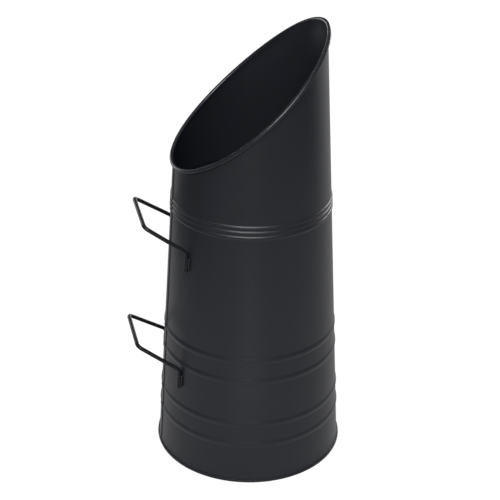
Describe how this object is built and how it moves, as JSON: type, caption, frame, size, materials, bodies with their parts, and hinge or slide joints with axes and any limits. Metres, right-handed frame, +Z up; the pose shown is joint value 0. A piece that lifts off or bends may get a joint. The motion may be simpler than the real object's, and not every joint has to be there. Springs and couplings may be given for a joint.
{
  "type": "coal scuttle",
  "caption": "Tall round tapering coal scuttle in black painted steel, with a slanting rolled mouth, pressed beads, a flared foot and fixed wire handles up the back.",
  "frame": {"origin": "on the floor, on the axis of the round body", "axes": "+Z up, along the body's axis; +X towards the high pouring side of the mouth; -X towards the seam and the two handles; the XZ plane is the plane of symmetry"},
  "size_m": [0.2732, 0.2402, 0.5634],
  "materials": {
    "shell_paint": "satin black powder coat on sheet steel, inside and out",
    "handle_paint": "satin black powder coat on round steel wire and its welds",
    "bare_wire": "plain drawn steel wire, closed in by the rolled rim"
  },
  "bodies": {
    "root": {"body_shell": "shell_paint", "base_pan": "shell_paint", "rim_wire": "bare_wire", "upper_handle": "handle_paint", "lower_handle": "handle_paint", "upper_handle_welds": "handle_paint", "lower_handle_welds": "handle_paint"}
  },
  "joints": []
}
